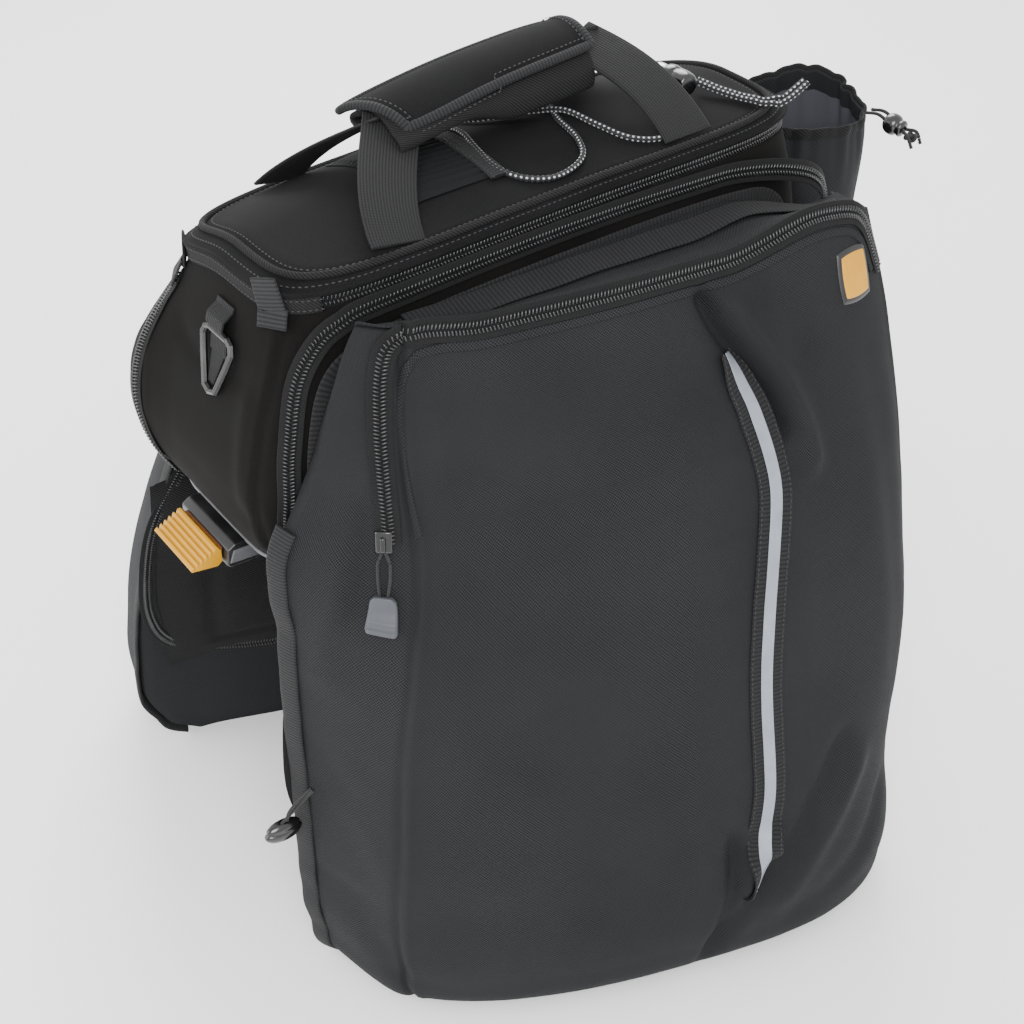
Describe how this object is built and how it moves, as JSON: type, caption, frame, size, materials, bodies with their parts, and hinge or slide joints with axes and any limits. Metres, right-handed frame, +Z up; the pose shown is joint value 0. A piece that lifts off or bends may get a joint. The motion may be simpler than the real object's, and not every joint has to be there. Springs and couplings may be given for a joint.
{
  "type": "bicycle trunk bag with fold-out panniers",
  "caption": "Padded bicycle trunk bag with a zipped lid, carry handle and bottle sleeve, its two side panniers folded out and hanging down.",
  "frame": {"origin": "on the floor under the middle of the bag's box, leaving out its loose cords and their locks", "axes": "+X along the trunk towards the bottle sleeve, so the release tab is at -X; -Y towards the near pannier; +Z up"},
  "size_m": [0.5076, 0.557, 0.5334],
  "materials": {
    "cloth": "matte woven polyester, near black",
    "webbing": "ribbed black webbing and zip tape",
    "cord": "braided black cord, light flecks on the elastic one",
    "plastic": "satin black",
    "button_plastic": "silver grey gloss",
    "yellow_plastic": "yellow, ribbed",
    "rubber": "grey soft rubber",
    "reflector": "silver grey reflective tape",
    "patch": "plain yellow face in a black rim",
    "lining": "thin grey lining"
  },
  "bodies": {
    "bag": {"base_plate": "plastic", "bottle_sleeve": "cloth", "bungee_cord": "cord", "bungee_cross": "cord", "bungee_lock": "plastic", "bungee_tail_1": "cord", "bungee_tail_2": "cord", "cover_cord": "cord", "cover_lining_far": "lining", "cover_lining_near": "lining", "cover_lock": "plastic", "cover_panel_far": "cloth", "cover_panel_near": "cloth", "cover_zip_far": "webbing", "cover_zip_near": "webbing", "grip_wrap": "cloth", "handle_far": "webbing", "handle_near": "webbing", "lid_hinge": "webbing", "lid_piping": "cloth", "lid_zip": "webbing", "pannier_far": "cloth", "pannier_near": "cloth", "pannier_slider_far": "plastic", "pannier_slider_near": "plastic", "pannier_top_far": "cloth", "pannier_top_near": "cloth", "pannier_zip_far": "webbing", "pannier_zip_near": "webbing", "patch_far": "patch", "patch_near": "patch", "pocket_binding": "webbing", "pull_cord_far": "cord", "pull_cord_near": "cord", "pull_tab_far": "rubber", "pull_tab_near": "rubber", "reflective_stripe_far": "reflector", "reflective_stripe_near": "reflector", "release_housing": "plastic", "ring_tab": "webbing", "side_tape_far": "webbing", "side_tape_near": "webbing", "side_zip_far": "webbing", "side_zip_near": "webbing", "side_zip_pull": "rubber", "sleeve_cord": "cord", "sleeve_lock": "plastic", "stretch_pocket": "cloth", "stripe_tape_far": "webbing", "stripe_tape_near": "webbing", "trunk_lid": "cloth", "trunk_tub": "cloth", "zip_stop_far": "webbing", "zip_stop_near": "webbing"},
    "release_tab": {"release_tab": "yellow_plastic"},
    "front_ring": {"front_ring": "plastic"},
    "lock_button": {"bungee_lock_button": "button_plastic"}
  },
  "joints": [
    {"name": "release_tab_hinge", "type": "hinge", "parent": "bag", "child": "release_tab", "pos_m": [-0.23298, -0.02082, 0.2827], "axis": [0, 1, 0], "range_deg": [-12, 0], "stiffness_Nm_per_rad": 0.5},
    {"name": "front_ring_hinge", "type": "hinge", "parent": "bag", "child": "front_ring", "pos_m": [-0.21342, -0.03582, 0.42029], "axis": [0, 1, 0], "range_deg": [0, 110]},
    {"name": "lock_button_slide", "type": "slide", "parent": "bag", "child": "lock_button", "axis": [0, -1, 0], "range_m": [0, 0.003], "stiffness_N_per_m": 300}
  ]
}
